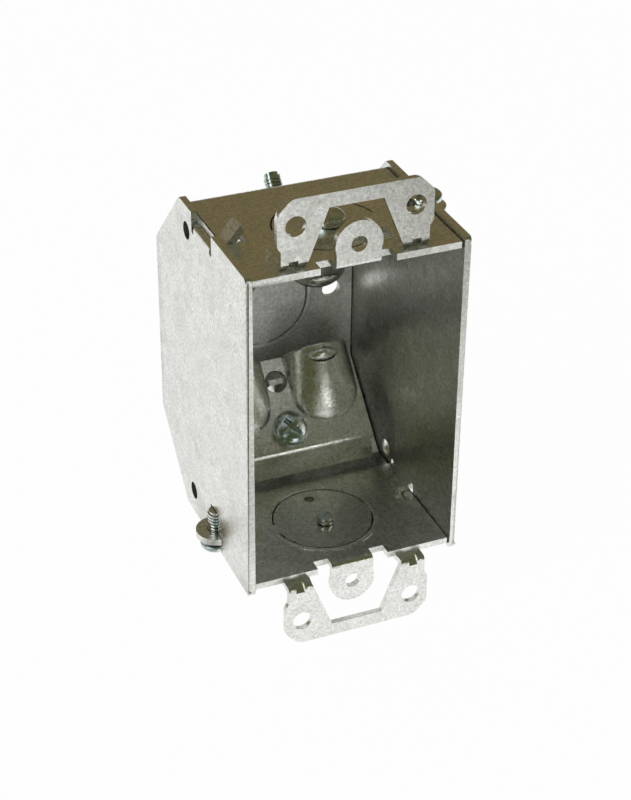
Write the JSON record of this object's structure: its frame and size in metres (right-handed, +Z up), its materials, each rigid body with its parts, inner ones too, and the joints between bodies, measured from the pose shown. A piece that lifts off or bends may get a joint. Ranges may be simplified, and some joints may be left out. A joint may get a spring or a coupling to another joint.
{
  "type": "gangable switch box",
  "caption": "Galvanised steel wall switch box with bevelled back corners, removable sides, plaster ears, device tabs and screwed cable clamps.",
  "frame": {"origin": "midway between the two device-tab holes, on the front faces of the tabs", "axes": "+Z up as fixed in a wall, -Y out of the open front towards the room, +X to the right seen from the front"},
  "size_m": [0.0576, 0.0591, 0.1064],
  "materials": {
    "galvanised_sheet": "galvanised",
    "zinc_screw": "bright zinc plate"
  },
  "bodies": {
    "box": {"box_body": "galvanised_sheet", "left_side_screw": "zinc_screw", "right_side_screw": "zinc_screw", "top_ear_screw": "zinc_screw", "bottom_ear_screw": "zinc_screw"},
    "left_side": {"left_side": "galvanised_sheet"},
    "right_side": {"right_side": "galvanised_sheet"},
    "top_ear": {"top_ear": "galvanised_sheet"},
    "bottom_ear": {"bottom_ear": "galvanised_sheet"},
    "upper_clamp": {"upper_clamp": "galvanised_sheet"},
    "lower_clamp": {"lower_clamp": "galvanised_sheet"},
    "upper_clamp_screw": {"upper_clamp_screw": "zinc_screw"},
    "lower_clamp_screw": {"lower_clamp_screw": "zinc_screw"}
  },
  "joints": [
    {"name": "left_side_slide", "type": "slide", "parent": "box", "child": "left_side", "axis": [-1, 0, 0], "range_m": [0, 0.012]},
    {"name": "right_side_slide", "type": "slide", "parent": "box", "child": "right_side", "axis": [1, 0, 0], "range_m": [0, 0.012]},
    {"name": "top_ear_slide", "type": "slide", "parent": "box", "child": "top_ear", "axis": [0, -1, 0], "range_m": [-0.001, 0.0075]},
    {"name": "bottom_ear_slide", "type": "slide", "parent": "box", "child": "bottom_ear", "axis": [0, -1, 0], "range_m": [-0.0045, 0.0035]},
    {"name": "upper_clamp_slide", "type": "slide", "parent": "box", "child": "upper_clamp", "axis": [0, -0.7071, -0.7071], "range_m": [0, 0.00397]},
    {"name": "lower_clamp_slide", "type": "slide", "parent": "box", "child": "lower_clamp", "axis": [0, -0.7071, 0.7071], "range_m": [0, 0.00397]},
    {"name": "upper_screw_turn", "type": "hinge", "parent": "upper_clamp", "child": "upper_clamp_screw", "pos_m": [0, 0.03736, 0.02458], "axis": [0, -0.7071, -0.7071], "range_deg": [0, 1800]},
    {"name": "lower_screw_turn", "type": "hinge", "parent": "lower_clamp", "child": "lower_clamp_screw", "pos_m": [0, 0.03736, -0.02458], "axis": [0, -0.7071, 0.7071], "range_deg": [0, 1800]}
  ],
  "couplings": [
    {"joint": "upper_screw_turn", "follows": "upper_clamp_slide", "rad_per_m": 7913.3},
    {"joint": "lower_screw_turn", "follows": "lower_clamp_slide", "rad_per_m": 7913.3}
  ]
}
